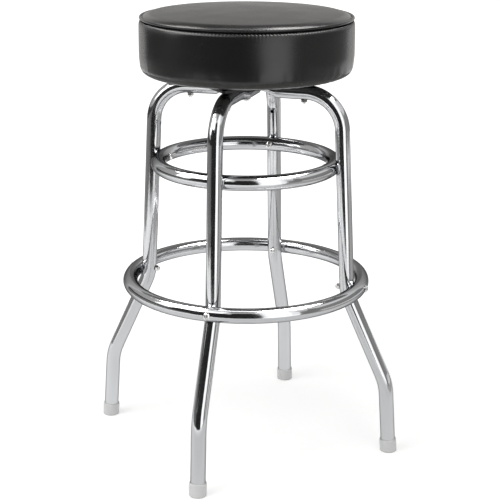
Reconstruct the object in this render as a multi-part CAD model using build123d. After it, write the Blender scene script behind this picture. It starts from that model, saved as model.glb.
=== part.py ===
from build123d import *
import math
import os

# Bar stool with two foot rings and a swivelling round seat. Millimetres, +Z up.
# The origin is on the floor, on the axis that the seat turns about.
# The legs lie on +X (right), +Y (back), -X (left) and -Y (front).

# Leg tubes: two bent steel tubes that cross under the seat, each making two legs
tube_d = 25.4
tube_wall = 1.2
leg_top_z = 633.5       # centreline of the level run under the seat
leg_top_reach = 165.5   # where the level run and the leg would meet without a bend
leg_out = 17.9          # how far the leg leans out between its top and the splay bend
splay_drop = 10.9       # from the lower ring down to the bend where the leg splays out
knee_z = 125.3          # the bend back towards upright
foot_out = 8.6          # how far the leg leans out between the knee and the floor
foot_reach = 265.9      # the leg's centreline at the floor
top_bend_r = 65.0
splay_bend_r = 70.0
knee_bend_r = 100.0
vent_d = 6.0            # drain hole for the plating bath, on the inner side of each leg
vent_drop = 68.8        # from the level run's centreline down to the drain hole

# Crossing: one tube is pressed flat from below and the other from above, so that they lap
press_flat = 30.0       # half length of the flat
press_run = 24.0        # length over which the round tube turns flat
lap_gap = 0.1

# Foot rings: bent round and dimpled where they seat on the legs
ring_tube_d = 25.4
ring_wall = 1.2
upper_ring_z = 506.0
lower_ring_z = 296.6
upper_dimple = 5.1
lower_dimple = 4.3
dimple_gap = 0.1

# Glides: plastic caps pushed over the ends of the legs
glide_h = 23.0
glide_floor = 4.0       # plastic under the end of the tube
glide_wall = 2.2
glide_rim_r = 1.6       # rounding of the top rim
glide_foot_r = 2.0      # rounding of the bottom edge
glide_gap = 0.05

# Fasteners: round-head bolts and cap nuts, all of one thread size but for the cross bolt
bolt_d = 6.0
bolt_head_d = 12.4
bolt_head_h = 4.2
bolt_rim_h = 0.9
recess_l = 6.6          # cross recess in each head
recess_w = 1.3
recess_depth = 1.7
nut_af = 10.0
nut_hex_h = 3.6
nut_h = 7.6
nut_wall = 1.4          # dome left over the end of the thread
cross_bolt_d = 8.0
cross_head_d = 16.0
cross_head_h = 5.0
cross_nut_af = 13.0
cross_nut_hex_h = 4.6
cross_nut_h = 9.4
hole_gap = 0.25         # round a bolt in its drilled hole
thread_gap = 0.05       # between a thread and its nut, modelled plain
seat_gap = 0.1          # between a flat nut and the round tube that it bears on
insert_d = 8.8          # rivet nut in the leg for the upper ring's screw
insert_l = 11.0
insert_flange_d = 11.6
insert_flange_t = 0.8

# Swivel: two square steel plates on a ring of balls, held together by a flanged hub
plate_t = 4.0
plate_corner_r = 6.0
plate_gap = 7.7         # between the two plates
plate_bolt_inset = 2.75  # from the end of the level run in to a plate bolt
plate_margin = 24.9     # from a plate bolt out to the plate's corner, before it is rounded
seat_screw_reach = 75.0
access_hole_d = 14.0    # through which the seat screws are driven
access_turn = 45.0      # from a plate bolt round to an access hole, in degrees
ball_d = 9.5
ball_count = 16
race_r = 52.0
race_gap = 0.15         # between a ball and its grooves
cage_t = 3.0
cage_w = 15.0
pocket_gap = 0.2
hub_d = 44.0
hub_wall = 4.0
hub_flange_d = 54.0
hub_flange_t = 2.0
hub_gap = 0.3           # between the hub and the plate that turns on it

# Seat: plywood board, foam, and a vinyl cover of top panel, piping and side band
seat_h = 91.2           # from the board up to the top of the crown
band_top_r = 178.6      # outside of the side band, where it is drawn in under the piping
band_bulge = 2.8        # how far the band swells past that at its widest
bulge_h = 39.5          # from the hem up to the widest line
band_foot_out = 1.8     # how far the band is out above its rounded lower corner
band_corner_r = 14.0
vinyl_t = 1.2
hem_w = 34.4            # width of the vinyl turned under the board
board_t = 15.0
board_bore_gap = 4.0    # round the hub's flange
piping_d = 5.0
piping_inset = 0.8      # from the top of the band in to the piping's centre
piping_drop = 13.0      # from the top of the crown down to the piping's centre
piping_cord_d = 3.0
panel_edge_rise = 0.6   # where the top panel meets the piping, above the piping's centre
roll_w = 20.15          # width of the edge where the crown rolls down to the piping
shoulder_drop = 3.5     # from the top of the crown down to where that roll starts
cover_gap = 0.15
tee_barrel_d = 7.8
tee_barrel_l = 9.0
tee_flange_d = 19.0
tee_flange_t = 1.5
seat_screw_head_h = 3.4
staple_count = 28
staple_w = 10.0
staple_wire_w = 1.2
staple_wire_t = 0.6
staple_leg_l = 8.0
staple_edge = 8.0       # from the hem's inner edge

# Places that follow from the sizes above
tube_r = tube_d / 2
ring_tube_r = ring_tube_d / 2
quarter_turns = (0, 90, 180, 270)
tube_top_z = leg_top_z + tube_r
tube_under_z = leg_top_z - tube_r
lower_plate_z = tube_top_z
race_z = lower_plate_z + plate_t + plate_gap / 2
upper_plate_z = lower_plate_z + plate_t + plate_gap
board_z = upper_plate_z + plate_t
board_top_z = board_z + board_t
hem_z = board_z - cover_gap - vinyl_t
seat_top_z = board_top_z + seat_h
seat_r = band_top_r + band_bulge
bulge_z = hem_z + bulge_h
band_foot_r = band_top_r + band_foot_out
hem_r = band_foot_r - hem_w
piping_r = band_top_r - piping_inset
piping_z = seat_top_z - piping_drop
band_top_z = piping_z - piping_d / 2 - cover_gap
panel_edge_r = piping_r - piping_d / 2 - cover_gap
panel_edge_z = piping_z + panel_edge_rise
shoulder_r = panel_edge_r - roll_w
splay_reach = leg_top_reach + leg_out
splay_z = lower_ring_z - splay_drop
knee_reach = foot_reach - foot_out
vent_z = leg_top_z - vent_drop
knee_slope = foot_out / knee_z
tube_end_z = glide_floor + tube_r * abs(knee_slope)
leg_slope = leg_out / (leg_top_z - splay_z)
top_turn = math.pi / 2 - math.atan(leg_slope)
level_run = leg_top_reach - top_bend_r * math.tan(top_turn / 2)
plate_bolt_reach = level_run - plate_bolt_inset
plate_side = math.sqrt(2) * (plate_bolt_reach + plate_margin)


def leg_reach(z):
    """Distance of a leg's centreline from the stool's axis, between the top bend and the splay bend."""
    return leg_top_reach + leg_slope * (leg_top_z - z)


upper_ring_r = leg_reach(upper_ring_z) - tube_r - ring_tube_r + upper_dimple
lower_ring_r = leg_reach(lower_ring_z) + tube_r + ring_tube_r - lower_dimple


def leg_path():
    """Centreline of the right leg, from the pressed part of the crossing down into its glide."""
    return FilletPolyline(
        (press_flat + press_run, 0, leg_top_z),
        (leg_top_reach, 0, leg_top_z),
        (splay_reach, 0, splay_z),
        (knee_reach, 0, knee_z),
        (foot_reach - knee_slope * tube_end_z, 0, tube_end_z),
        radius=[top_bend_r, splay_bend_r, knee_bend_r],
    )


def leg_rod(diameter):
    """The right leg as a solid rod of the given diameter."""
    path = leg_path()
    return sweep(Plane(path @ 0, z_dir=path % 0) * Circle(diameter / 2), path)


def round_section(x, diameter):
    """Round section of the level run at x, in four arcs that match the pressed section's edges."""
    r = diameter / 2
    c = r * math.sqrt(0.5)
    z = leg_top_z
    edges = [
        ThreePointArc((x, c, z + c), (x, 0, z + r), (x, -c, z + c)),
        ThreePointArc((x, -c, z + c), (x, -r, z), (x, -c, z - c)),
        ThreePointArc((x, -c, z - c), (x, 0, z - r), (x, c, z - c)),
        ThreePointArc((x, c, z - c), (x, r, z), (x, c, z + c)),
    ]
    return Face(Wire(edges))


def pressed_section(x, diameter, height, side):
    """Section at x pressed to a height, with the same girth; side is 1 where the top line stays level."""
    width = height + math.pi * (diameter - height) / 2
    z = leg_top_z + side * (diameter - height) / 2
    y = (width - height) / 2
    h = height / 2
    edges = [
        Line((x, y, z + h), (x, -y, z + h)),
        ThreePointArc((x, -y, z + h), (x, -width / 2, z), (x, -y, z - h)),
        Line((x, -y, z - h), (x, y, z - h)),
        ThreePointArc((x, y, z - h), (x, width / 2, z), (x, y, z + h)),
    ]
    return Face(Wire(edges))


def bent_rod(diameter, height, side):
    """One whole leg tube as a solid: two legs, two runs that turn flat and the flat between them."""
    rod = extrude(pressed_section(-press_flat, diameter, height, side), 2 * press_flat, dir=(1, 0, 0))
    run_end = press_flat + press_run
    run = loft([round_section(run_end, diameter), pressed_section(press_flat, diameter, height, side)])
    for turn in (0, 180):
        rod += Rot(0, 0, turn) * run
        rod += Rot(0, 0, turn) * leg_rod(diameter)
    return rod


def upright_hole(x, diameter):
    """Drill through the level run at x."""
    return Pos(x, 0, leg_top_z) * Cylinder(diameter / 2, 2 * tube_d)


def radial_hole(start, end, z, diameter):
    """Drill along X from one reach to another at height z."""
    return Plane((start, 0, z), z_dir=(1, 0, 0)) * Cylinder(
        diameter / 2, end - start, align=(Align.CENTER, Align.CENTER, Align.MIN)
    )


def leg_tube(side):
    """A bent tube along X with its drilled holes; side says which face of the crossing stays level."""
    press_h = tube_r - lap_gap / 2
    tube = bent_rod(tube_d, press_h, side)
    tube -= bent_rod(tube_d - 2 * tube_wall, press_h - 2 * tube_wall, side)
    tube -= upright_hole(0, cross_bolt_d + 2 * hole_gap)
    for turn in (0, 180):
        bolt = upright_hole(plate_bolt_reach, bolt_d + 2 * hole_gap)
        low = leg_reach(lower_ring_z)
        ring_bolt = radial_hole(low - tube_d, low + tube_d, lower_ring_z, bolt_d + 2 * hole_gap)
        high = leg_reach(upper_ring_z)
        insert = radial_hole(high - tube_d, high, upper_ring_z, insert_d + 2 * thread_gap)
        vent = radial_hole(leg_reach(vent_z) - tube_d, leg_reach(vent_z), vent_z, vent_d)
        for hole in (bolt, ring_bolt, insert, vent):
            tube -= Rot(0, 0, turn) * hole
    return tube


def ring_quarter(radius, z, diameter):
    """Quarter of a ring of solid rod, with its middle at the right leg."""
    section = Plane((radius, 0, z), x_dir=(1, 0, 0), z_dir=(0, -1, 0)) * Circle(diameter / 2)
    return Rot(0, 0, -45) * revolve(section, Axis.Z, 90)


def foot_ring(radius, z, holes):
    """Ring of tube at height z, dimpled and drilled at the four legs, its wall following each dimple."""
    quarter = ring_quarter(radius, z, ring_tube_d) - leg_rod(tube_d + 2 * dimple_gap)
    hollow = ring_quarter(radius, z, ring_tube_d - 2 * ring_wall)
    quarter -= hollow - leg_rod(tube_d + 2 * dimple_gap + 2 * ring_wall)
    for hole in holes:
        quarter -= hole
    skin = [face for face in quarter.faces() if face.geom_type != GeomType.PLANE]
    return Solid(Shell([Rot(0, 0, turn) * face for turn in quarter_turns for face in skin]))


def upper_ring():
    """Ring inside the legs, drilled for its screws and opened for the flanges of the rivet nuts."""
    near = upper_ring_r - ring_tube_d
    far = upper_ring_r + ring_tube_d
    screw = radial_hole(near, upper_ring_r, upper_ring_z, bolt_d + 2 * hole_gap)
    flange = radial_hole(upper_ring_r, far, upper_ring_z, insert_flange_d + 4 * hole_gap)
    return foot_ring(upper_ring_r, upper_ring_z, [screw, flange])


def lower_ring():
    """Ring outside the legs, drilled through for its bolts."""
    near = lower_ring_r - ring_tube_d
    far = lower_ring_r + ring_tube_d
    bolt = radial_hole(near, far, lower_ring_z, bolt_d + 2 * hole_gap)
    return foot_ring(lower_ring_r, lower_ring_z, [bolt])


def glide():
    """Cap on the right leg: a socket round the tube, in line with the leg and cut level at the floor."""
    outer_r = tube_r + glide_wall
    leg_line = Plane((foot_reach, 0, 0), x_dir=(1, 0, knee_slope), z_dir=(-knee_slope, 0, 1))
    under_floor = glide_floor + outer_r * abs(knee_slope)
    cap = Cylinder(outer_r, glide_h + under_floor, align=(Align.CENTER, Align.CENTER, Align.MIN))
    cap = Pos(0, 0, -under_floor) * cap
    cap = fillet(cap.edges().sort_by(Axis.Z)[-1], glide_rim_r)
    socket_z = tube_end_z * math.sqrt(1 + knee_slope**2)
    socket = Cylinder(tube_r + glide_gap, glide_h, align=(Align.CENTER, Align.CENTER, Align.MIN))
    cap = leg_line * (cap - Pos(0, 0, socket_z) * socket)
    below = Pos(foot_reach, 0, -glide_h) * Box(4 * tube_d, 4 * tube_d, 2 * glide_h)
    cap -= below
    return fillet(cap.edges().group_by(Axis.Z)[0], glide_foot_r)


def round_head_bolt(diameter, length, head_d, head_h):
    """Bolt along Z: cross-recess round head above zero, plain shank below."""
    rise = head_h - bolt_rim_h
    dome_r = (head_d**2 / 4 + rise**2) / (2 * rise)
    head = Cylinder(head_d / 2, head_h, align=(Align.CENTER, Align.CENTER, Align.MIN))
    head &= Pos(0, 0, head_h - dome_r) * Sphere(dome_r)
    for turn in (0, 90):
        head -= Pos(0, 0, head_h) * Rot(0, 0, turn) * Box(recess_l, recess_w, 2 * recess_depth)
    shank = Cylinder(diameter / 2, length, align=(Align.CENTER, Align.CENTER, Align.MAX))
    return head + shank


def cap_nut(diameter, across_flats, hex_h, height):
    """Domed nut along Z, with its open bearing face at zero."""
    nut = extrude(RegularPolygon(across_flats / 2, 6, major_radius=False), hex_h)
    rim_r = across_flats / 2
    rise = height - hex_h
    dome_r = (rim_r**2 + rise**2) / (2 * rise)
    dome = Pos(0, 0, hex_h) * Cylinder(rim_r, rise, align=(Align.CENTER, Align.CENTER, Align.MIN))
    dome &= Pos(0, 0, height - dome_r) * Sphere(dome_r)
    bore = Cylinder(
        diameter / 2 + thread_gap, height - nut_wall, align=(Align.CENTER, Align.CENTER, Align.MIN)
    )
    return nut + dome - bore


def four_round(piece):
    """Four copies of a piece about the stool's axis, as separate solids."""
    return Compound(children=[Rot(0, 0, turn) * piece for turn in quarter_turns])


def nut_thread(height):
    """Length of thread that a cap nut takes."""
    return height - nut_wall - seat_gap


def lower_ring_fasteners():
    """Bolts from outside the lower ring, and cap nuts on the inner side of the legs."""
    head_x = lower_ring_r + ring_tube_r
    nut_x = leg_reach(lower_ring_z) - tube_r - leg_slope * nut_af - seat_gap
    length = head_x - nut_x + nut_thread(nut_h)
    bolt = round_head_bolt(bolt_d, length, bolt_head_d, bolt_head_h)
    nut = cap_nut(bolt_d, nut_af, nut_hex_h, nut_h)
    bolt = Plane((head_x, 0, lower_ring_z), z_dir=(1, 0, 0)) * bolt
    nut = Plane((nut_x, 0, lower_ring_z), z_dir=(-1, 0, 0)) * nut
    return four_round(bolt), four_round(nut)


def upper_ring_fasteners():
    """Screws from inside the upper ring, and the rivet nuts in the legs that they turn into."""
    hollow_r = upper_ring_r - ring_tube_r
    head_x = math.sqrt(hollow_r**2 - bolt_head_d**2 / 4) - seat_gap
    flange_x = leg_reach(upper_ring_z) - tube_r - leg_slope * insert_flange_d - seat_gap
    length = flange_x + insert_l - head_x
    screw = round_head_bolt(bolt_d, length, bolt_head_d, bolt_head_h)
    flange = Cylinder(insert_flange_d / 2, insert_flange_t, align=(Align.CENTER, Align.CENTER, Align.MAX))
    barrel = Cylinder(insert_d / 2, insert_l, align=(Align.CENTER, Align.CENTER, Align.MIN))
    bore = Cylinder(bolt_d / 2 + thread_gap, 4 * insert_l)
    insert = flange + barrel - bore
    screw = Plane((head_x, 0, upper_ring_z), z_dir=(-1, 0, 0)) * screw
    insert = Plane((flange_x, 0, upper_ring_z), z_dir=(1, 0, 0)) * insert
    return four_round(screw), four_round(insert)


def plate_fasteners():
    """Bolts down through the lower plate and the leg tubes, and cap nuts under the tubes."""
    nut_z = tube_under_z - seat_gap
    head_z = lower_plate_z + plate_t
    bolt = round_head_bolt(bolt_d, head_z - nut_z + nut_thread(nut_h), bolt_head_d, bolt_head_h)
    nut = Rot(180, 0, 0) * cap_nut(bolt_d, nut_af, nut_hex_h, nut_h)
    bolts = four_round(Pos(plate_bolt_reach, 0, head_z) * bolt)
    nuts = four_round(Pos(plate_bolt_reach, 0, nut_z) * nut)
    return bolts, nuts


def cross_fasteners():
    """Bolt on the axis that clamps the two pressed tubes together, and its cap nut."""
    length = tube_top_z - tube_under_z + seat_gap + nut_thread(cross_nut_h)
    bolt = round_head_bolt(cross_bolt_d, length, cross_head_d, cross_head_h)
    nut = Rot(180, 0, 0) * cap_nut(cross_bolt_d, cross_nut_af, cross_nut_hex_h, cross_nut_h)
    return Pos(0, 0, tube_top_z) * bolt, Pos(0, 0, tube_under_z - seat_gap) * nut


def square_plate(z):
    """Square plate with its corners over the legs, resting at height z, with its ball groove."""
    plate = extrude(RectangleRounded(plate_side, plate_side, plate_corner_r), plate_t)
    plate = Pos(0, 0, z) * Rot(0, 0, 45) * plate
    return plate - Pos(0, 0, race_z) * Torus(race_r, ball_d / 2 + race_gap)


def through_plate(reach, diameter, turn):
    """Drill through both plates at a reach from the axis."""
    return Rot(0, 0, turn) * Pos(reach, 0, race_z) * Cylinder(diameter / 2, 4 * (plate_t + plate_gap))


def lower_plate():
    """Fixed plate, bolted to the tubes, with holes to reach the seat screws through."""
    plate = square_plate(lower_plate_z) - through_plate(0, hub_d, 0)
    for turn in quarter_turns:
        plate -= through_plate(plate_bolt_reach, bolt_d + 2 * hole_gap, turn)
        plate -= through_plate(seat_screw_reach, access_hole_d, turn + access_turn)
    return plate


def upper_plate():
    """Turning plate, screwed to the seat board."""
    plate = square_plate(upper_plate_z) - through_plate(0, hub_d + 2 * hub_gap, 0)
    for turn in quarter_turns:
        plate -= through_plate(seat_screw_reach, bolt_d + 2 * hole_gap, turn)
    return plate


def hub():
    """Sleeve pressed into the lower plate, whose flange keeps the upper plate down on the balls."""
    flange_z = board_z + hub_gap
    sleeve_h = flange_z + hub_flange_t - lower_plate_z
    sleeve = Cylinder(hub_d / 2, sleeve_h, align=(Align.CENTER, Align.CENTER, Align.MIN))
    flange = Cylinder(hub_flange_d / 2, hub_flange_t, align=(Align.CENTER, Align.CENTER, Align.MIN))
    part = Pos(0, 0, lower_plate_z) * sleeve + Pos(0, 0, flange_z) * flange
    return part - Pos(0, 0, lower_plate_z) * Cylinder(hub_d / 2 - hub_wall, 4 * sleeve_h)


def ball_places():
    """Centres of the balls round the race."""
    return [Rot(0, 0, 360 * i / ball_count) * Pos(race_r, 0, race_z) for i in range(ball_count)]


def balls():
    """Steel balls between the plates."""
    return Compound(children=[place * Sphere(ball_d / 2) for place in ball_places()])


def ball_cage():
    """Flat ring that keeps the balls apart."""
    cage = Cylinder(race_r + cage_w / 2, cage_t) - Cylinder(race_r - cage_w / 2, cage_t)
    cage = Pos(0, 0, race_z) * cage
    for place in ball_places():
        cage -= place * Cylinder(ball_d / 2 + pocket_gap, 2 * cage_t)
    return cage


def seat_board():
    """Plywood disc with a rounded lower edge, bored for the hub and the tee nuts."""
    board = Cylinder(
        band_foot_r - vinyl_t - cover_gap, board_t, align=(Align.CENTER, Align.CENTER, Align.MIN)
    )
    board = fillet(board.edges().sort_by(Axis.Z)[0], band_corner_r - vinyl_t - cover_gap)
    board -= Cylinder(hub_flange_d / 2 + board_bore_gap, 4 * board_t)
    for turn in quarter_turns:
        spot = Rot(0, 0, turn) * Pos(seat_screw_reach, 0, board_t)
        board -= spot * Cylinder(tee_barrel_d / 2 + thread_gap, 4 * board_t)
        board -= spot * Cylinder(tee_flange_d / 2 + hole_gap, 2 * (tee_flange_t + thread_gap))
    return Pos(0, 0, board_z) * board


def seat_fasteners():
    """Screws up through the upper plate, and the tee nuts let into the top of the board."""
    length = plate_t + board_t - tee_flange_t
    screw = round_head_bolt(bolt_d, length, bolt_head_d, seat_screw_head_h)
    screw = Pos(seat_screw_reach, 0, upper_plate_z) * Rot(180, 0, 0) * screw
    flange = Cylinder(tee_flange_d / 2, tee_flange_t, align=(Align.CENTER, Align.CENTER, Align.MAX))
    barrel = Cylinder(
        tee_barrel_d / 2, tee_flange_t + tee_barrel_l, align=(Align.CENTER, Align.CENTER, Align.MAX)
    )
    tee_nut = flange + barrel - Cylinder(bolt_d / 2 + thread_gap, 4 * board_t)
    tee_nut = Pos(seat_screw_reach, 0, board_top_z) * tee_nut
    return four_round(screw), four_round(tee_nut)


def turned(edges):
    """Solid of revolution of a closed outline drawn in the XZ plane."""
    return revolve(Face(Wire(edges)), Axis.Z)


def band_side(inset):
    """Upright line of the side band, from the piping down to the lower corner, moved in by an inset."""
    return ThreePointArc(
        (band_top_r - inset, 0, band_top_z),
        (seat_r - inset, 0, bulge_z),
        (band_foot_r - inset, 0, hem_z + band_corner_r),
    )


def band_corner(inset):
    """Rounded lower corner of the band, round the edge of the board."""
    centre_r = band_foot_r - band_corner_r
    r = band_corner_r - inset
    c = r * math.sqrt(0.5)
    z = hem_z + band_corner_r
    return ThreePointArc((centre_r + r, 0, z), (centre_r + c, 0, z - c), (centre_r, 0, z - r))


def side_band():
    """Strip of vinyl round the side, rounded in under the board and turned in to its hem."""
    centre_r = band_foot_r - band_corner_r
    return turned([
        band_side(0),
        band_corner(0),
        Line((centre_r, 0, hem_z), (hem_r, 0, hem_z)),
        Line((hem_r, 0, hem_z), (hem_r, 0, hem_z + vinyl_t)),
        Line((hem_r, 0, hem_z + vinyl_t), (centre_r, 0, hem_z + vinyl_t)),
        band_corner(vinyl_t),
        band_side(vinyl_t),
        Line((band_top_r - vinyl_t, 0, band_top_z), (band_top_r, 0, band_top_z)),
    ])


def crown(drop):
    """Line of the top from the axis to the piping, lowered by a drop: a shallow dome and a rolled edge."""
    top_z = seat_top_z - drop
    dome_r = (shoulder_r**2 + shoulder_drop**2) / (2 * shoulder_drop)
    half = shoulder_r / 2
    half_z = top_z - dome_r + math.sqrt(dome_r**2 - half**2)
    dome = ThreePointArc((0, 0, top_z), (half, 0, half_z), (shoulder_r, 0, top_z - shoulder_drop))
    roll = TangentArc(
        (shoulder_r, 0, top_z - shoulder_drop), (panel_edge_r, 0, panel_edge_z - drop), tangent=dome % 1
    )
    return [dome, roll]


def top_panel():
    """Round of vinyl over the foam."""
    return turned([
        *crown(0),
        Line((panel_edge_r, 0, panel_edge_z), (panel_edge_r, 0, panel_edge_z - vinyl_t)),
        *crown(vinyl_t),
        Line((0, 0, seat_top_z - vinyl_t), (0, 0, seat_top_z)),
    ])


def foam_core():
    """Foam that fills the cover above the board."""
    inset = vinyl_t + cover_gap
    foot_z = hem_z + band_corner_r
    edge_z = panel_edge_z - inset
    filling = turned([
        *crown(inset),
        Line((panel_edge_r, 0, edge_z), (band_top_r - inset, 0, band_top_z)),
        band_side(inset),
        Line((band_foot_r - inset, 0, foot_z), (0, 0, foot_z)),
        Line((0, 0, foot_z), (0, 0, seat_top_z - inset)),
    ])
    filling -= Pos(0, 0, piping_z) * Torus(piping_r, piping_d / 2 + cover_gap)
    under_board = Cylinder(2 * seat_r, seat_top_z, align=(Align.CENTER, Align.CENTER, Align.MAX))
    return filling - Pos(0, 0, board_top_z + cover_gap) * under_board


def piping():
    """Vinyl sleeve of the piping, sewn between the top panel and the side band."""
    ring = Torus(piping_r, piping_d / 2) - Torus(piping_r, piping_cord_d / 2 + cover_gap)
    return Pos(0, 0, piping_z) * ring


def piping_cord():
    """Filler cord inside the piping."""
    return Pos(0, 0, piping_z) * Torus(piping_r, piping_cord_d / 2)


def staples():
    """Wire staples that hold the hem up against the board."""
    wire = Box(staple_wire_w, staple_w, staple_wire_t, align=(Align.CENTER, Align.CENTER, Align.MAX))
    for end in (-1, 1):
        leg = Box(
            staple_wire_w, staple_wire_t, staple_leg_l, align=(Align.CENTER, Align.CENTER, Align.MIN)
        )
        wire += Pos(0, end * (staple_w - staple_wire_t) / 2, -staple_wire_t) * leg
    spot = Pos(hem_r + staple_edge, 0, hem_z)
    return Compound(children=[Rot(0, 0, 360 * i / staple_count) * spot * wire for i in range(staple_count)])


ring_bolts, ring_nuts = lower_ring_fasteners()
ring_screws, ring_inserts = upper_ring_fasteners()
plate_bolts, plate_nuts = plate_fasteners()
cross_bolt, cross_nut = cross_fasteners()
seat_screws, tee_nuts = seat_fasteners()

nodes = {
    "leg_tube_left_right": leg_tube(1),
    "leg_tube_front_back": Rot(0, 0, 90) * leg_tube(-1),
    "upper_foot_ring": upper_ring(),
    "lower_foot_ring": lower_ring(),
    "lower_ring_bolts": ring_bolts,
    "lower_ring_cap_nuts": ring_nuts,
    "upper_ring_screws": ring_screws,
    "upper_ring_rivet_nuts": ring_inserts,
    "cross_bolt": cross_bolt,
    "cross_cap_nut": cross_nut,
    "swivel_lower_plate": lower_plate(),
    "swivel_hub": hub(),
    "plate_bolts": plate_bolts,
    "plate_cap_nuts": plate_nuts,
    "swivel_ball_cage": ball_cage(),
    "swivel_balls": balls(),
    "swivel_upper_plate": upper_plate(),
    "seat_screws": seat_screws,
    "seat_tee_nuts": tee_nuts,
    "seat_board": seat_board(),
    "seat_foam": foam_core(),
    "seat_side_band": side_band(),
    "seat_top_panel": top_panel(),
    "seat_piping": piping(),
    "seat_piping_cord": piping_cord(),
    "seat_staples": staples(),
}
for turn, place in zip(quarter_turns, ("right", "back", "left", "front")):
    nodes[f"foot_glide_{place}"] = Rot(0, 0, turn) * glide()

os.makedirs("parts", exist_ok=True)
for name, piece in nodes.items():
    export_step(piece, f"parts/{name}.step")
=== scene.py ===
import math

import bmesh
import bpy
from mathutils import Matrix, Vector, noise


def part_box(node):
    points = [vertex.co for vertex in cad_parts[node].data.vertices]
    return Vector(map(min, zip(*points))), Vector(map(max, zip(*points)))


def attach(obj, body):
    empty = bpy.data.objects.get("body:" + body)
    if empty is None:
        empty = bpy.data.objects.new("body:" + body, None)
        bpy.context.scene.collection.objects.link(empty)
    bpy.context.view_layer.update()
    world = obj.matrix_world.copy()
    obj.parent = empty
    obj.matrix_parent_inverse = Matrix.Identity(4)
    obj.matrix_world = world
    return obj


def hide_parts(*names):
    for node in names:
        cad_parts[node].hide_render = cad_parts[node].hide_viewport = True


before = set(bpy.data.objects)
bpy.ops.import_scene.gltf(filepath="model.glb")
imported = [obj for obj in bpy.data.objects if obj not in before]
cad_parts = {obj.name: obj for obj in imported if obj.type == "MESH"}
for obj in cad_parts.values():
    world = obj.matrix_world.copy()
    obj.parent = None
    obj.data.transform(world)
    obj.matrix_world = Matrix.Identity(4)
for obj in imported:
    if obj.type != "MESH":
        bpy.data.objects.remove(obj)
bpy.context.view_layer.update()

# Leg tubes. Two bent 1 inch steel tubes cross under the seat and make the four legs.
# They are drawn, bent and drilled, then polished and chrome plated all over.
MM = 0.001
CHROME_COLOUR = "#c3c4c6"
CHROME_EDGE = "#6a6a6a"
CHROME_ROUGHNESS = (0.08, 0.14)
CHROME_HAZE = 40 * MM
CHROME_RIPPLE = 22 * MM
CHROME_RIPPLE_DEPTH = 0.05 * MM


def linear(colour):
    """Linear colour of an sRGB hex value."""
    channels = [int(colour[i:i + 2], 16) / 255 for i in (1, 3, 5)]
    return [c / 12.92 if c <= 0.04045 else ((c + 0.055) / 1.055) ** 2.4 for c in channels] + [1.0]


def add_node(tree, kind, inputs=None, **settings):
    """One node with its settings; inputs gives a socket its value, or the output that it links to."""
    made = tree.nodes.new(kind)
    for name, value in settings.items():
        setattr(made, name, value)
    for socket, value in (inputs or {}).items():
        if isinstance(value, bpy.types.NodeSocket):
            tree.links.new(value, made.inputs[socket])
        else:
            made.inputs[socket].default_value = value
    return made


def start_material(name):
    """Empty material, its node tree and the place on the piece that its patterns follow."""
    material = bpy.data.materials.new(name)
    material.use_nodes = True
    tree = material.node_tree
    tree.nodes.clear()
    return material, tree, add_node(tree, "ShaderNodeTexCoord").outputs["Object"]


def close_material(tree, inputs):
    """Main shader of a material, with its values and links."""
    shader = add_node(tree, "ShaderNodeBsdfPrincipled", inputs)
    add_node(tree, "ShaderNodeOutputMaterial", {"Surface": shader.outputs["BSDF"]})


def per(size):
    """Texture scale for a pattern of a size in metres."""
    return 1 / size


def finish_nodes(material, *names):
    """Gives the solids of these names a finish."""
    for name in names:
        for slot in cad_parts[name].material_slots:
            slot.material = material


def chrome_plate():
    """Bright chrome over polished steel: a clear mirror with the slight haze and ripple of hand polishing.

    Its edge tint darkens the mirror where it is seen at a slant, so each tube has a fine dark rim.
    """
    material, tree, place = start_material("chrome_plated_steel")
    haze = add_node(tree, "ShaderNodeTexNoise", {"Vector": place, "Scale": per(CHROME_HAZE), "Detail": 4.0})
    roughness = add_node(tree, "ShaderNodeMapRange", {
        "Value": haze.outputs["Fac"], "From Min": 0.35, "From Max": 0.7,
        "To Min": CHROME_ROUGHNESS[0], "To Max": CHROME_ROUGHNESS[1]})
    ripple = add_node(tree, "ShaderNodeTexNoise", {
        "Vector": place, "Scale": per(CHROME_RIPPLE), "Detail": 1.0})
    bump = add_node(tree, "ShaderNodeBump", {
        "Height": ripple.outputs["Fac"], "Strength": 1.0, "Distance": CHROME_RIPPLE_DEPTH})
    close_material(tree, {
        "Base Color": linear(CHROME_COLOUR), "Metallic": 1.0, "Specular Tint": linear(CHROME_EDGE),
        "Roughness": roughness.outputs["Result"], "Normal": bump.outputs["Normal"]})
    return material


chrome = chrome_plate()
finish_nodes(chrome, "leg_tube_left_right", "leg_tube_front_back")

# Foot rings. Two lengths of the same tube rolled round, welded end to end and dimpled at the legs,
# plated in the same bath as the legs.
finish_nodes(chrome, "upper_foot_ring", "lower_foot_ring")

# Fasteners of the frame and the seat. Round-head bolts and cap nuts of bright zinc-plated steel,
# cold headed, so a shade softer than the chrome that they sit on.
ZINC_COLOUR = "#d9d9d8"
ZINC_ROUGHNESS = (0.16, 0.28)
ZINC_MOTTLE = 1.2 * MM


def bright_zinc():
    """Zinc plate on cold-headed steel: a soft mirror with a fine crystal mottle.

    The mottle is drawn coarse so that it shows.
    """
    material, tree, place = start_material("bright_zinc_plate")
    mottle = add_node(tree, "ShaderNodeTexVoronoi", {"Vector": place, "Scale": per(ZINC_MOTTLE)})
    roughness = add_node(tree, "ShaderNodeMapRange", {
        "Value": mottle.outputs["Distance"], "From Max": 0.8,
        "To Min": ZINC_ROUGHNESS[0], "To Max": ZINC_ROUGHNESS[1]})
    close_material(tree, {
        "Base Color": linear(ZINC_COLOUR), "Metallic": 1.0, "Roughness": roughness.outputs["Result"]})
    return material


zinc = bright_zinc()
finish_nodes(
    zinc, "lower_ring_bolts", "lower_ring_cap_nuts", "upper_ring_screws", "upper_ring_rivet_nuts",
    "plate_bolts", "plate_cap_nuts", "cross_bolt", "cross_cap_nut", "seat_screws", "seat_tee_nuts")

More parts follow.
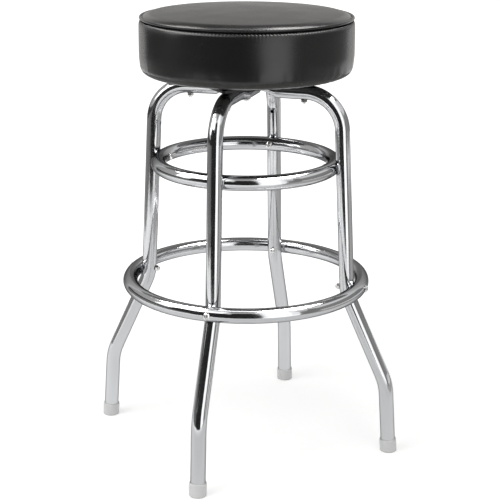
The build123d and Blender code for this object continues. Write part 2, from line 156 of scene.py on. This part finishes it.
# Glides. Injection-moulded polyethylene caps pushed over the ends of the legs,
# pale grey, waxy, and scuffed where they slide on the floor.
GLIDE_COLOUR = "#d2d2d2"
GLIDE_SCUFF_COLOUR = "#a3a29d"
GLIDE_ROUGHNESS = (0.36, 0.6)
GLIDE_IOR = 1.51
GLIDE_SCUFF_H = 3.5 * MM
GLIDE_SCUFF_MARK = 2.5 * MM
GLIDE_GRAIN = 0.9 * MM
GLIDE_GRAIN_DEPTH = 0.03 * MM


def moulded_polyethylene():
    """Waxy moulded plastic: a broad soft sheen over a fine spark texture, drawn coarse so that it shows.

    It is dulled and scuffed at the floor.
    """
    material, tree, place = start_material("moulded_polyethylene")
    height = add_node(tree, "ShaderNodeSeparateXYZ", {"Vector": place}).outputs["Z"]
    near_floor = add_node(tree, "ShaderNodeMapRange", {
        "Value": height, "From Min": 0.0, "From Max": GLIDE_SCUFF_H, "To Min": 1.0, "To Max": 0.0})
    marks = add_node(tree, "ShaderNodeTexNoise", {
        "Vector": place, "Scale": per(GLIDE_SCUFF_MARK), "Detail": 5.0})
    scuff = add_node(tree, "ShaderNodeMath", {
        0: near_floor.outputs["Result"], 1: marks.outputs["Fac"]}, operation="MULTIPLY")
    colour = add_node(tree, "ShaderNodeMix", {
        "Factor": scuff.outputs["Value"], "A": linear(GLIDE_COLOUR), "B": linear(GLIDE_SCUFF_COLOUR)},
        data_type="RGBA")
    grain = add_node(tree, "ShaderNodeTexNoise", {
        "Vector": place, "Scale": per(GLIDE_GRAIN), "Detail": 2.0})
    bump = add_node(tree, "ShaderNodeBump", {
        "Height": grain.outputs["Fac"], "Strength": 0.5, "Distance": GLIDE_GRAIN_DEPTH})
    roughness = add_node(tree, "ShaderNodeMapRange", {
        "Value": scuff.outputs["Value"], "To Min": GLIDE_ROUGHNESS[0], "To Max": GLIDE_ROUGHNESS[1]})
    close_material(tree, {
        "Base Color": colour.outputs["Result"], "Roughness": roughness.outputs["Result"],
        "Normal": bump.outputs["Normal"], "IOR": GLIDE_IOR})
    return material


glide_finish = moulded_polyethylene()
finish_nodes(glide_finish, "foot_glide_left", "foot_glide_right", "foot_glide_front", "foot_glide_back")

# Swivel. Two pressed steel plates with a ball race between them, stoved black.
# The hub is riveted into the lower plate, and a nylon cage spaces the steel balls.
ENAMEL_COLOUR = "#141414"
ENAMEL_ROUGHNESS = (0.34, 0.5)
ENAMEL_PEEL = 1.6 * MM
ENAMEL_PEEL_DEPTH = 0.06 * MM
BALL_COLOUR = "#b9b9b7"
BALL_ROUGHNESS = (0.06, 0.28)
BALL_GREASE = 3 * MM
CAGE_COLOUR = "#d8d3c3"
CAGE_ROUGHNESS = (0.38, 0.55)
CAGE_CLOUD = 6 * MM
CAGE_IOR = 1.53


def stoved_enamel():
    """Black stoving enamel: low sheen with a fine orange peel."""
    material, tree, place = start_material("black_stoving_enamel")
    peel = add_node(tree, "ShaderNodeTexNoise", {"Vector": place, "Scale": per(ENAMEL_PEEL), "Detail": 2.0})
    bump = add_node(tree, "ShaderNodeBump", {
        "Height": peel.outputs["Fac"], "Strength": 0.6, "Distance": ENAMEL_PEEL_DEPTH})
    roughness = add_node(tree, "ShaderNodeMapRange", {
        "Value": peel.outputs["Fac"], "To Min": ENAMEL_ROUGHNESS[0], "To Max": ENAMEL_ROUGHNESS[1]})
    close_material(tree, {
        "Base Color": linear(ENAMEL_COLOUR), "Roughness": roughness.outputs["Result"],
        "Normal": bump.outputs["Normal"]})
    return material


def bearing_steel():
    """Ground and lapped steel balls: a mirror under a patchy film of grease."""
    material, tree, place = start_material("lapped_bearing_steel")
    film = add_node(tree, "ShaderNodeTexNoise", {"Vector": place, "Scale": per(BALL_GREASE), "Detail": 3.0})
    roughness = add_node(tree, "ShaderNodeMapRange", {
        "Value": film.outputs["Fac"], "To Min": BALL_ROUGHNESS[0], "To Max": BALL_ROUGHNESS[1]})
    close_material(tree, {
        "Base Color": linear(BALL_COLOUR), "Metallic": 1.0, "Roughness": roughness.outputs["Result"]})
    return material


def natural_nylon():
    """Moulded natural nylon: cream and half matt."""
    material, tree, place = start_material("natural_nylon")
    cloud = add_node(tree, "ShaderNodeTexNoise", {"Vector": place, "Scale": per(CAGE_CLOUD), "Detail": 2.0})
    roughness = add_node(tree, "ShaderNodeMapRange", {
        "Value": cloud.outputs["Fac"], "To Min": CAGE_ROUGHNESS[0], "To Max": CAGE_ROUGHNESS[1]})
    close_material(tree, {
        "Base Color": linear(CAGE_COLOUR), "Roughness": roughness.outputs["Result"], "IOR": CAGE_IOR})
    return material


finish_nodes(stoved_enamel(), "swivel_lower_plate", "swivel_upper_plate", "swivel_hub")
finish_nodes(bearing_steel(), "swivel_balls")
finish_nodes(natural_nylon(), "swivel_ball_cage")

# Seat board. A disc of birch plywood with its lower edge rounded over, sprayed black,
# which the cover is stapled to. Its underside shows between the hem and the swivel.
BOARD_BLACK = "#171614"
BOARD_RUBBED = "#3b3024"
BOARD_ROUGHNESS = 0.6
GRAIN_L = 160 * MM
GRAIN_W = 7 * MM
GRAIN_DEPTH = 0.15 * MM


def black_plywood():
    """Thin black paint on birch veneer: the long grain still shows as ridges and as a rubbed brown tint."""
    material, tree, place = start_material("black_painted_plywood")
    along = add_node(tree, "ShaderNodeMapping", {
        "Vector": place, "Scale": (per(GRAIN_L), per(GRAIN_W), per(GRAIN_W))})
    grain = add_node(tree, "ShaderNodeTexNoise", {
        "Vector": along.outputs["Vector"], "Scale": 1.0, "Detail": 6.0, "Distortion": 0.6})
    rubbed = add_node(tree, "ShaderNodeMapRange", {
        "Value": grain.outputs["Fac"], "From Min": 0.55, "From Max": 0.85, "To Max": 0.6})
    colour = add_node(tree, "ShaderNodeMix", {
        "Factor": rubbed.outputs["Result"], "A": linear(BOARD_BLACK), "B": linear(BOARD_RUBBED)},
        data_type="RGBA")
    bump = add_node(tree, "ShaderNodeBump", {
        "Height": grain.outputs["Fac"], "Strength": 0.6, "Distance": GRAIN_DEPTH})
    close_material(tree, {
        "Base Color": colour.outputs["Result"], "Roughness": BOARD_ROUGHNESS,
        "Normal": bump.outputs["Normal"]})
    return material


finish_nodes(black_plywood(), "seat_board")

# Seat cushion. A round of foam on the board under a panel of black vinyl that is sewn to the piping.
# The cover is stapled tight, so the foam swells the panel into a low crown with a rolled edge,
# which curls down beside the piping to the seam under it.
VINYL_COLOUR = "#1b1a1a"
VINYL_SHADE = "#151414"
VINYL_ROUGHNESS = (0.23, 0.28)
VINYL_IOR = 1.46
VINYL_T = 1.2 * MM
VINYL_GRAIN = 1.6 * MM
VINYL_GRAIN_DEPTH = 0.05 * MM
VINYL_WEAR = 45 * MM
CUSHION_STEPS = 144
SWELL = 2.5 * MM
SWELL_FRAMES = 20
TAUT = 0.85
SHOULDER_DROP = 4.2 * MM
SHOULDER_SWELL = 0.6
ROLL_W = 16.2 * MM
ROLL_IN = 0.95 * MM
ROLL_RISE = 2.5 * MM
CURL_OUT = 0.6 * MM
CURL_H = 2.6 * MM
SEAM_OUT = 1.6 * MM
SEAM_DROP = 1.9 * MM
SIDE_TOP_DROP = 4.8 * MM
SIDE_INSET = 2.2 * MM
BULGE_H = 39.5 * MM
HELD_MARGIN = 0.1 * MM
FOAM_LUMP = 120 * MM
FOAM_UNEVEN = 0.08 * MM
FOAM_UNEVEN_FADE = 6 * MM


def arc(start, end, heading, count):
    """Points after start on the arc to end, (radius, height), that sets out at a heading in radians."""
    chord = Vector(end) - Vector(start)
    bend = math.atan2(chord.y, chord.x) - heading
    points = []
    for i in range(1, count + 1):
        share = i / count
        reach = math.sin(bend * share) / math.sin(bend) if abs(bend) > 1e-6 else share
        angle = heading + bend * share
        points.append((
            start[0] + chord.length * reach * math.cos(angle),
            start[1] + chord.length * reach * math.sin(angle)))
    return points


def end_heading(start, end, heading):
    """Heading in radians at the end of the arc that sets out from start at a heading."""
    return 2 * math.atan2(end[1] - start[1], end[0] - start[0]) - heading


def turned(points, steps, closed=False):
    """Mesh of a line of (radius, height) points turned once about the seat's axis."""
    shape = bmesh.new()
    line = [shape.verts.new((r, 0, z)) for r, z in points]
    pairs = list(zip(line, line[1:]))
    if closed:
        pairs.append((line[-1], line[0]))
    edges = [shape.edges.new(pair) for pair in pairs]
    bmesh.ops.spin(
        shape, geom=line + edges, cent=(0, 0, 0), axis=(0, 0, 1), angle=math.tau, steps=steps,
        use_merge=True)
    bmesh.ops.remove_doubles(shape, verts=shape.verts, dist=0.001 * MM)
    bmesh.ops.recalc_face_normals(shape, faces=shape.faces)
    return shape


def add_object(name, shape, material):
    """Object of a finished mesh, which is used up, with its material."""
    mesh = bpy.data.meshes.new(name)
    shape.to_mesh(mesh)
    shape.free()
    mesh.materials.append(material)
    made = bpy.data.objects.new(name, mesh)
    bpy.context.scene.collection.objects.link(made)
    return made


def make_piece(name, shape, material, body):
    """Smooth-shaded piece of the stool, riding on a body."""
    piece = add_object(name, shape, material)
    piece.data.shade_smooth()
    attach(piece, body)
    return piece


def upholstery_vinyl():
    """Calendered vinyl: black, half glossy and unevenly polished, with a fine leather grain pressed in.

    The grain is drawn a little coarse so that it shows.
    """
    material, tree, place = start_material("black_upholstery_vinyl")
    cells = add_node(tree, "ShaderNodeTexVoronoi", {
        "Vector": place, "Scale": per(VINYL_GRAIN)}, feature="SMOOTH_F1")
    wear = add_node(tree, "ShaderNodeTexNoise", {"Vector": place, "Scale": per(VINYL_WEAR), "Detail": 4.0})
    colour = add_node(tree, "ShaderNodeMix", {
        "Factor": wear.outputs["Fac"], "A": linear(VINYL_COLOUR), "B": linear(VINYL_SHADE)},
        data_type="RGBA")
    roughness = add_node(tree, "ShaderNodeMapRange", {
        "Value": wear.outputs["Fac"], "From Min": 0.3, "From Max": 0.7,
        "To Min": VINYL_ROUGHNESS[0], "To Max": VINYL_ROUGHNESS[1]})
    bump = add_node(tree, "ShaderNodeBump", {
        "Height": cells.outputs["Distance"], "Strength": 0.35, "Distance": VINYL_GRAIN_DEPTH})
    close_material(tree, {
        "Base Color": colour.outputs["Result"], "Roughness": roughness.outputs["Result"],
        "Normal": bump.outputs["Normal"], "IOR": VINYL_IOR})
    return material


def swell(piece, held, most):
    """Blows the filling up under a piece with cloth, its held points fixed, to at most that rise.

    Vinyl pulled taut rises evenly, so each ring of points mostly takes its mean rise.
    """
    scene = bpy.context.scene
    piece.vertex_groups.new(name="held").add(held, 1.0, "REPLACE")
    cloth = piece.modifiers.new("filling", "CLOTH")
    cloth.settings.vertex_group_mass = "held"
    cloth.settings.quality = 6
    cloth.settings.tension_stiffness = 40
    cloth.settings.compression_stiffness = 40
    cloth.settings.bending_stiffness = 20
    cloth.settings.use_pressure = True
    cloth.settings.uniform_pressure_force = 4
    cloth.settings.effector_weights.gravity = 0
    cloth.collision_settings.use_collision = False
    for step in range(1, SWELL_FRAMES + 1):
        scene.frame_set(step)
    blown = piece.evaluated_get(bpy.context.evaluated_depsgraph_get()).data
    shifts = [after.co - before.co for after, before in zip(blown.vertices, piece.data.vertices)]
    share = min(1.0, most / max(shift.length for shift in shifts))
    piece.modifiers.remove(cloth)
    scene.frame_set(1)
    rings = {}
    for vertex, shift in zip(piece.data.vertices, shifts):
        outward = Vector((vertex.co.x, vertex.co.y, 0)).normalized()
        ring = round(vertex.co.xy.length / VINYL_T, 2), round(vertex.co.z / VINYL_T, 2)
        rings.setdefault(ring, []).append((vertex, shift, outward))
    for ring in rings.values():
        out = sum(shift.dot(outward) for _, shift, outward in ring) / len(ring)
        up = sum(shift.z for _, shift, _ in ring) / len(ring)
        for vertex, shift, outward in ring:
            even = outward * out + Vector((0, 0, up))
            vertex.co += shift.lerp(even, TAUT) * share


panel_low, panel_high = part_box("seat_top_panel")
band_low, band_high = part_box("seat_side_band")
_, board_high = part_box("seat_board")
crown = (0.0, panel_high.z - SWELL)
panel_edge = (panel_high.x - ROLL_IN, panel_low.z + ROLL_RISE)
shoulder = (panel_edge[0] - ROLL_W, crown[1] - SHOULDER_DROP + SWELL * SHOULDER_SWELL)
curl_end = (panel_edge[0] + CURL_OUT, panel_edge[1] - CURL_H)
seam = (panel_high.x + SEAM_OUT, panel_low.z - SEAM_DROP)
roll_heading = end_heading(crown, shoulder, 0.0)
curl_heading = end_heading(shoulder, panel_edge, roll_heading)
outline = [crown] + arc(crown, shoulder, 0.0, count=16)
outline += arc(shoulder, panel_edge, roll_heading, count=10)
outline += arc(panel_edge, curl_end, curl_heading, count=4)
outline += [seam, (curl_end[0], seam[1] - VINYL_T)]
outline += [(curl_end[0], band_high.z - SIDE_TOP_DROP)]
outline += [(band_high.x - SIDE_INSET, band_low.z + BULGE_H)]
outline += [(board_high.x - SIDE_INSET, board_high.z), (0.0, board_high.z)]
shape = turned(outline, CUSHION_STEPS)
vinyl = upholstery_vinyl()
cushion = make_piece("seat_cushion", shape, vinyl, "seat")
held_below = panel_edge[1] + HELD_MARGIN
held = [v.index for v in cushion.data.vertices if v.co.z < held_below]
swell(cushion, held, SWELL)
for vertex in cushion.data.vertices:
    if vertex.co.z > held_below:
        lump = noise.noise(vertex.co / FOAM_LUMP) * FOAM_UNEVEN
        vertex.co.z += lump * min(1.0, (vertex.co.z - held_below) / FOAM_UNEVEN_FADE)
rounding = cushion.modifiers.new("rounding", "SUBSURF")
rounding.levels = rounding.render_levels = 1
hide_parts("seat_foam", "seat_top_panel")

# Side band. A strip of the same vinyl sewn under the piping, pulled down over the foam and round
# the board, and gathered in small pleats where it is stapled underneath. Its top edge rolls over
# as a lip, puckered at each stitch.
BAND_DRAW = 2.8 * MM
LIP_IN = 1.2 * MM
LIP_DROP = 1.7 * MM
LIP_OUT = 2.5 * MM
LIP_H = 8.4 * MM
LIP_SLOPE = math.radians(-35)
FULL_DROP = 17 * MM
BAND_FOOT_IN = 1.5 * MM
CORNER_R = 17 * MM
HEM_W = 34.4 * MM
STITCHES = 192
STEPS_PER_STITCH = 6
PUCKER = 1.1 * MM
PUCKER_FADE = 2.8 * MM
PLEAT = 0.4 * MM
PLEAT_SIZE = 13 * MM
BAND_LUMP = 60 * MM
BAND_UNEVEN = 0.5 * MM
BAND_UNEVEN_FADE = 12 * MM
UP = math.pi / 2
DOWN = -math.pi / 2
INWARD = math.pi


def near_stitch(angle):
    """1 at a needle hole round the seam and 0 midway between two."""
    return 0.5 + 0.5 * math.cos(angle * STITCHES)


band_top = (band_high.x - BAND_DRAW, band_high.z)
lip_start = (band_top[0] - LIP_IN, band_top[1] - LIP_DROP)
lip_foot = (band_top[0] + LIP_OUT, band_top[1] - LIP_H)
full = (band_high.x, band_top[1] - FULL_DROP)
bulge = (band_high.x, band_low.z + BULGE_H)
foot = (band_high.x - BAND_FOOT_IN, band_low.z + CORNER_R)
corner_end = (foot[0] - CORNER_R, band_low.z)
hem_end = (foot[0] - HEM_W, band_low.z)
outline = [lip_start] + arc(lip_start, lip_foot, LIP_SLOPE, count=9)
under_lip = arc(full, lip_foot, UP, count=6)
outline += under_lip[-2::-1] + [full] + arc(full, bulge, DOWN, count=6)
outline += arc(bulge, foot, DOWN, count=5)
outline += arc(foot, corner_end, DOWN, count=8)
outline += arc(corner_end, hem_end, INWARD, count=5)
shape = turned(outline, STEPS_PER_STITCH * STITCHES)
shape.normal_update()
for vertex in shape.verts:
    even = vertex.co.copy()
    angle = math.atan2(even.y, even.x)
    depth = max(0.0, lip_start[1] - even.z)
    pull = PUCKER * near_stitch(angle) * math.exp(-depth / PUCKER_FADE)
    low_down = min(1.0, max(0.0, (foot[1] + CORNER_R - even.z) / CORNER_R))
    round_seat = Vector((math.cos(angle), math.sin(angle), 0)) * band_high.x
    pleat = PLEAT * low_down * noise.noise(round_seat / PLEAT_SIZE)
    away = min(1.0, depth / BAND_UNEVEN_FADE) * (1 - low_down)
    lump = BAND_UNEVEN * away * noise.noise(even / BAND_LUMP)
    vertex.co = even + vertex.normal * (pleat + lump - pull)
band = make_piece("seat_side_band_vinyl", shape, vinyl, "seat")
wall = band.modifiers.new("vinyl", "SOLIDIFY")
wall.thickness = VINYL_T
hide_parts("seat_side_band")

# Piping. A bias strip of the same vinyl folded round a filler cord and sewn in between panel and band.
# Each stitch nips it a little.
NIP = 0.16 * MM
PIPING_SIDES = 20
PIPING_STEPS_PER_STITCH = 4

piping_low, piping_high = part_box("seat_piping")
piping_r = (piping_high.z - piping_low.z) / 2
piping_ring = piping_high.x - piping_r
piping_z = (piping_high.z + piping_low.z) / 2
outline = []
for i in range(PIPING_SIDES):
    angle = math.tau * i / PIPING_SIDES
    outline.append((piping_ring + piping_r * math.cos(angle), piping_z + piping_r * math.sin(angle)))
shape = turned(outline, PIPING_STEPS_PER_STITCH * STITCHES, closed=True)
for vertex in shape.verts:
    angle = math.atan2(vertex.co.y, vertex.co.x)
    centre = Vector((piping_ring * math.cos(angle), piping_ring * math.sin(angle), piping_z))
    vertex.co -= (vertex.co - centre).normalized() * NIP * near_stitch(angle)
piping = make_piece("seat_piping_vinyl", shape, vinyl, "seat")
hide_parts("seat_piping", "seat_piping_cord")

# Sewing thread. Black bonded polyester, twisted and waxed, lock stitched through panel, piping and band.
# One stitch shows between each pair of needle holes, on the band's lip just under the piping.
THREAD_COLOUR = "#4b4b4c"
THREAD_ROUGHNESS = (0.2, 0.35)
THREAD_D = 0.9 * MM
THREAD_TWIST = 4 * MM
THREAD_TWIST_DEPTH = 0.05 * MM
STITCH_L = 3.4 * MM
STITCH_DROP = 3.1 * MM
STITCH_OUT = 0.45 * MM


def bonded_thread():
    """Twisted and waxed polyester thread: a dull black with a waxy shine along its twist.

    The twist is drawn coarse so that it shows.
    """
    material, tree, place = start_material("bonded_polyester_thread")
    twist = add_node(tree, "ShaderNodeTexWave", {
        "Vector": place, "Scale": per(THREAD_TWIST), "Distortion": 1.0})
    roughness = add_node(tree, "ShaderNodeMapRange", {
        "Value": twist.outputs["Fac"], "To Min": THREAD_ROUGHNESS[0], "To Max": THREAD_ROUGHNESS[1]})
    bump = add_node(tree, "ShaderNodeBump", {
        "Height": twist.outputs["Fac"], "Strength": 0.5, "Distance": THREAD_TWIST_DEPTH})
    close_material(tree, {
        "Base Color": linear(THREAD_COLOUR), "Roughness": roughness.outputs["Result"],
        "Normal": bump.outputs["Normal"]})
    return material


shape = bmesh.new()
bmesh.ops.create_uvsphere(shape, u_segments=6, v_segments=5, radius=THREAD_D / 2)
bmesh.ops.scale(shape, verts=shape.verts, vec=(1, STITCH_L / THREAD_D, 1))
bmesh.ops.translate(
    shape, verts=shape.verts, vec=(band_top[0] + STITCH_OUT, 0, band_top[1] - STITCH_DROP))
bmesh.ops.rotate(
    shape, verts=shape.verts, cent=(0, 0, 0), matrix=Matrix.Rotation(math.pi / STITCHES, 3, "Z"))
bmesh.ops.spin(
    shape, geom=shape.verts[:] + shape.edges[:] + shape.faces[:], cent=(0, 0, 0), axis=(0, 0, 1),
    angle=math.tau * (STITCHES - 1) / STITCHES, steps=STITCHES - 1, use_duplicate=True)
make_piece("seat_stitching", shape, bonded_thread(), "seat")

# Staples. Galvanised steel wire, bent into flat crowns and glued in strips.
# They are shot up through the turned-in hem into the board.
STAPLE_COLOUR = "#a9abab"
STAPLE_ROUGHNESS = (0.3, 0.5)
STAPLE_SPANGLE = 0.8 * MM


def galvanised_wire():
    """Flat galvanised staple wire: dull grey zinc with a faint spangle."""
    material, tree, place = start_material("galvanised_wire")
    spangle = add_node(tree, "ShaderNodeTexVoronoi", {"Vector": place, "Scale": per(STAPLE_SPANGLE)})
    roughness = add_node(tree, "ShaderNodeMapRange", {
        "Value": spangle.outputs["Distance"],
        "To Min": STAPLE_ROUGHNESS[0], "To Max": STAPLE_ROUGHNESS[1]})
    close_material(tree, {
        "Base Color": linear(STAPLE_COLOUR), "Metallic": 1.0, "Roughness": roughness.outputs["Result"]})
    return material


finish_nodes(galvanised_wire(), "seat_staples")

# Studio. A white floor that runs out of sight, with the white of the room behind it.
# Soft lamps hang over the stool and stand at both sides of the camera. Lit panels and dark or grey
# cards, which only the chrome and the vinyl see, stand for the bright and unlit parts of the room.
FLOOR_SIZE = 14.0
FLOOR_WHITE = "#f4f4f3"
FLOOR_GLOW = (0.36, 0.8)
FLOOR_GLOW_FROM = (0.35, 1.3)
# Floor glow as reflections see it, low towards the camera: painted shade.
MIRROR_GLOW = (0.05, 0.45)
MIRROR_GLOW_FROM = (-0.45, 0.1)
FAR_GLOW_FROM = (0.6, 1.5)
ROOM_LIGHT = 0.5
ROOM_WHITE = 1.0
CARD_COLOUR = "#fefcfa"
CAMERA_BEARING = math.radians(17.204)


def seen_rays(tree):
    """1 for what the camera sees, straight, in metal or through glass, and 0 for other light."""
    rays = add_node(tree, "ShaderNodeLightPath").outputs
    sharp = add_node(tree, "ShaderNodeMath", {
        0: rays["Is Camera Ray"], 1: rays["Is Glossy Ray"]}, operation="MAXIMUM")
    return add_node(tree, "ShaderNodeMath", {
        0: sharp.outputs["Value"], 1: rays["Is Transmission Ray"]}, operation="MAXIMUM").outputs["Value"]


def studio(right, away, height):
    """Place in the studio, which is laid out square to the camera, measured from the stool's axis."""
    return Matrix.Rotation(CAMERA_BEARING, 3, "Z") @ Vector((right, away, height))


def white_floor():
    """Matt white floor paint that keeps shadows, with a glow that makes the open floor white to the eye.

    The glow grows away from the stool. In reflections the glow is lower towards the camera, a painted shade
    on the floor that only the chrome and the vinyl see.
    """
    material, tree, place = start_material("white_floor")
    paint = add_node(tree, "ShaderNodeBsdfDiffuse", {"Color": linear(FLOOR_WHITE)})
    out = add_node(tree, "ShaderNodeVectorMath", {0: place}, operation="LENGTH")
    open_glow = add_node(tree, "ShaderNodeMapRange", {
        "Value": out.outputs["Value"], "From Min": FLOOR_GLOW_FROM[0], "From Max": FLOOR_GLOW_FROM[1],
        "To Min": FLOOR_GLOW[0], "To Max": FLOOR_GLOW[1]})
    # Painted shade: in reflections the floor's glow falls off towards the camera.
    along = add_node(tree, "ShaderNodeVectorMath", {0: place, 1: studio(0, 1, 0)}, operation="DOT_PRODUCT")
    near_glow = add_node(tree, "ShaderNodeMapRange", {
        "Value": along.outputs["Value"], "From Min": MIRROR_GLOW_FROM[0], "From Max": MIRROR_GLOW_FROM[1],
        "To Min": MIRROR_GLOW[0], "To Max": MIRROR_GLOW[1]})
    far_glow = add_node(tree, "ShaderNodeMapRange", {
        "Value": out.outputs["Value"], "From Min": FAR_GLOW_FROM[0], "From Max": FAR_GLOW_FROM[1],
        "To Min": 0.0, "To Max": FLOOR_GLOW[1]})
    mirror_glow = add_node(tree, "ShaderNodeMath", {
        0: near_glow.outputs["Result"], 1: far_glow.outputs["Result"]}, operation="MAXIMUM")
    straight = add_node(tree, "ShaderNodeLightPath").outputs["Is Camera Ray"]
    level = add_node(tree, "ShaderNodeMix", {
        "Factor": straight, "A": mirror_glow.outputs["Value"], "B": open_glow.outputs["Result"]})
    glow_seen = add_node(tree, "ShaderNodeMath", {
        0: seen_rays(tree), 1: level.outputs["Result"]}, operation="MULTIPLY")
    glow = add_node(tree, "ShaderNodeEmission", {"Strength": glow_seen.outputs["Value"]})
    both = add_node(tree, "ShaderNodeAddShader", {0: paint.outputs["BSDF"], 1: glow.outputs["Emission"]})
    add_node(tree, "ShaderNodeOutputMaterial", {"Surface": both.outputs["Shader"]})
    return material


def stage_piece(name, shape, material):
    """Object of the studio, not of the stool."""
    piece = add_object(name, shape, material)
    return piece


def facing(place, aim):
    """Turn that points a card or a lamp from its place at an aim."""
    return (Vector(aim) - Vector(place)).to_track_quat("-Z", "Y")


def set_card(name, place, aim, width, height, brightness):
    """Card that shows only in reflections; brightness 1 is as bright as white paper."""
    material, tree, _ = start_material(name)
    glow = add_node(tree, "ShaderNodeEmission", {"Color": linear(CARD_COLOUR), "Strength": brightness})
    add_node(tree, "ShaderNodeOutputMaterial", {"Surface": glow.outputs["Emission"]})
    shape = bmesh.new()
    bmesh.ops.create_grid(shape, x_segments=1, y_segments=1, size=0.5)
    turn = facing(place, aim).to_matrix().to_4x4()
    stretch = Matrix.Diagonal((width, height, 1, 1))
    bmesh.ops.transform(shape, verts=shape.verts, matrix=Matrix.Translation(place) @ turn @ stretch)
    card = stage_piece(name, shape, material)
    card.visible_camera = False
    card.visible_diffuse = False
    card.visible_transmission = False
    card.visible_shadow = False


def stand_card(name, start, end, low, high, brightness):
    """Upright card on a line across the studio, (right, away) to (right, away), between two heights."""
    a = studio(*start, (low + high) / 2)
    b = studio(*end, (low + high) / 2)
    middle = (a + b) / 2
    ahead = (b - a).cross(Vector((0, 0, 1)))
    set_card(name, middle, middle + ahead, (b - a).length, high - low, brightness)


def hang_softbox(name, place, aim, width, height, brightness):
    """Soft lamp at a place, aimed at a point; brightness 1 is as bright as white paper."""
    lamp = bpy.data.lights.new(name, "AREA")
    lamp.shape = "RECTANGLE"
    lamp.size = width
    lamp.size_y = height
    lamp.energy = brightness * math.pi * width * height
    box = bpy.data.objects.new(name, lamp)
    box.location = place
    box.rotation_euler = facing(place, aim).to_euler()
    box.visible_camera = False
    bpy.context.scene.collection.objects.link(box)


floor_paint = white_floor()
shape = bmesh.new()
bmesh.ops.create_grid(shape, x_segments=1, y_segments=1, size=FLOOR_SIZE / 2)
stage_piece("studio_floor", shape, floor_paint)

room = bpy.data.worlds.new("white_room")
room.use_nodes = True
tree = room.node_tree
tree.nodes.clear()
room_level = add_node(tree, "ShaderNodeMapRange", {
    "Value": seen_rays(tree), "To Min": ROOM_LIGHT, "To Max": ROOM_WHITE})
white = add_node(tree, "ShaderNodeBackground", {
    "Color": (1, 1, 1, 1), "Strength": room_level.outputs["Result"]})
add_node(tree, "ShaderNodeOutputWorld", {"Surface": white.outputs["Background"]})
bpy.context.scene.world = room
bpy.context.scene.view_settings.view_transform = "Standard"

# Places are in metres to the right of the stool's axis, away from the camera and up.
# A lamp and a card are then given a width, a height and a brightness.
hang_softbox("overhead_lamp", studio(-0.1, -0.03, 2.15), studio(-0.1, -0.03, 0), 0.6, 0.35, 6)
hang_softbox("left_softbox", studio(-1.3, -0.6, 1.4), (0, 0, 1.2), 1.3, 1.1, 3.2)
hang_softbox("front_left_softbox", studio(-0.85, -1.05, 1.5), studio(-0.33, -0.1, 0.4), 0.75, 1.1, 1.2)
hang_softbox("right_softbox", studio(0.66, -0.98, 0.95), (0, 0, 0.6), 0.96, 1.9, 0.45)
hang_softbox("right_softbox_core", studio(0.54, -1.03, 0.95), (0, 0, 0.6), 0.5, 1.9, 0.45)
set_card("lit_left_panel", studio(-0.95, 0.1, 1.85), (0, 0, 0.75), 0.8, 0.8, 16)
set_card("lit_right_panel", studio(0.75, -0.05, 2.0), studio(0.75, -0.03, 0), 1.0, 1.1, 19)
set_card("unlit_ceiling_front", studio(0.05, -0.72, 2.2), studio(0.05, -0.7, 0), 0.9, 1.3, 0.45)
# A standing card runs from one (right, away) to another, between two heights.
stand_card("unlit_front", (-0.35, -1.35), (0.33, -1.35), 0.0, 1.9, 0.03)
stand_card("unlit_front_low", (-1.05, -1.35), (-0.35, -1.35), 0.0, 1.15, 0.03)
stand_card("unlit_front_left", (-1.4, -0.55), (-0.35, -1.2), 0.5, 1.2, 0.03)
stand_card("unlit_left_front", (-1.6, -1.35), (-1.05, -1.35), 0.0, 0.8, 0.04)
stand_card("left_floor_back", (-1.6, 1.4), (-1.6, 0.3), 0.0, 0.36, 0.4)
stand_card("left_floor_middle", (-1.6, 0.3), (-1.6, -0.5), 0.0, 0.45, 0.3)
stand_card("left_floor_front", (-1.6, -0.5), (-1.6, -1.35), 0.0, 0.45, 0.22)
stand_card("unlit_left", (-1.61, 1.4), (-1.61, -1.35), 0.36, 0.65, 0.06)
stand_card("unlit_left_high", (-1.8, 1.6), (-1.8, -0.3), 0.65, 2.4, 0.6)
stand_card("unlit_right_front", (0.92, -0.9), (1.3, -0.6), 0.0, 1.2, 0.3)
stand_card("unlit_right", (1.75, -0.85), (1.75, 1.45), 0.28, 1.2, 0.36)
set_card("right_floor_shade", studio(1.9, 0, 0.004), studio(1.9, 0, -1), 2.2, 2.4, 0.6)
stand_card("backdrop_foot", (-2.2, 2.6), (2.2, 2.6), 0.0, 0.85, 0.8)
stand_card("backdrop", (-0.55, 2.6), (0.55, 2.6), 0.85, 2.4, 0.5)
stand_card("backdrop_left", (-2.2, 2.6), (-0.55, 2.6), 0.85, 2.4, 0.8)
stand_card("backdrop_right", (0.55, 2.6), (2.2, 2.6), 0.85, 2.4, 0.8)
set_card("unlit_ceiling", studio(0, 1.6, 2.6), studio(0, 1.6, 0), 5.0, 2.6, 0.22)

# Camera. Placed and aimed as the photograph was taken, a little to the stool's right and above
# the seat, with a long lens.
CAMERA_DISTANCE = 2.2703
CAMERA_H = 1.0409
CAMERA_PITCH = math.radians(17.001)
CAMERA_ROLL = math.radians(0.188)
CAMERA_LENS = 97.10
CAMERA_SENSOR = 36.0
CAMERA_SHIFT = 0.00797

lens = bpy.data.cameras.new("photo_camera")
lens.sensor_width = CAMERA_SENSOR
lens.lens = CAMERA_LENS
lens.shift_x = CAMERA_SHIFT
camera = bpy.data.objects.new("photo_camera", lens)
camera.location = studio(0, -CAMERA_DISTANCE, CAMERA_H)
aim = Matrix.Rotation(CAMERA_BEARING, 3, "Z") @ Matrix.Rotation(math.pi / 2 - CAMERA_PITCH, 3, "X")
camera.rotation_euler = (aim @ Matrix.Rotation(CAMERA_ROLL, 3, "Z")).to_euler()
bpy.context.scene.collection.objects.link(camera)
bpy.context.scene.camera = camera
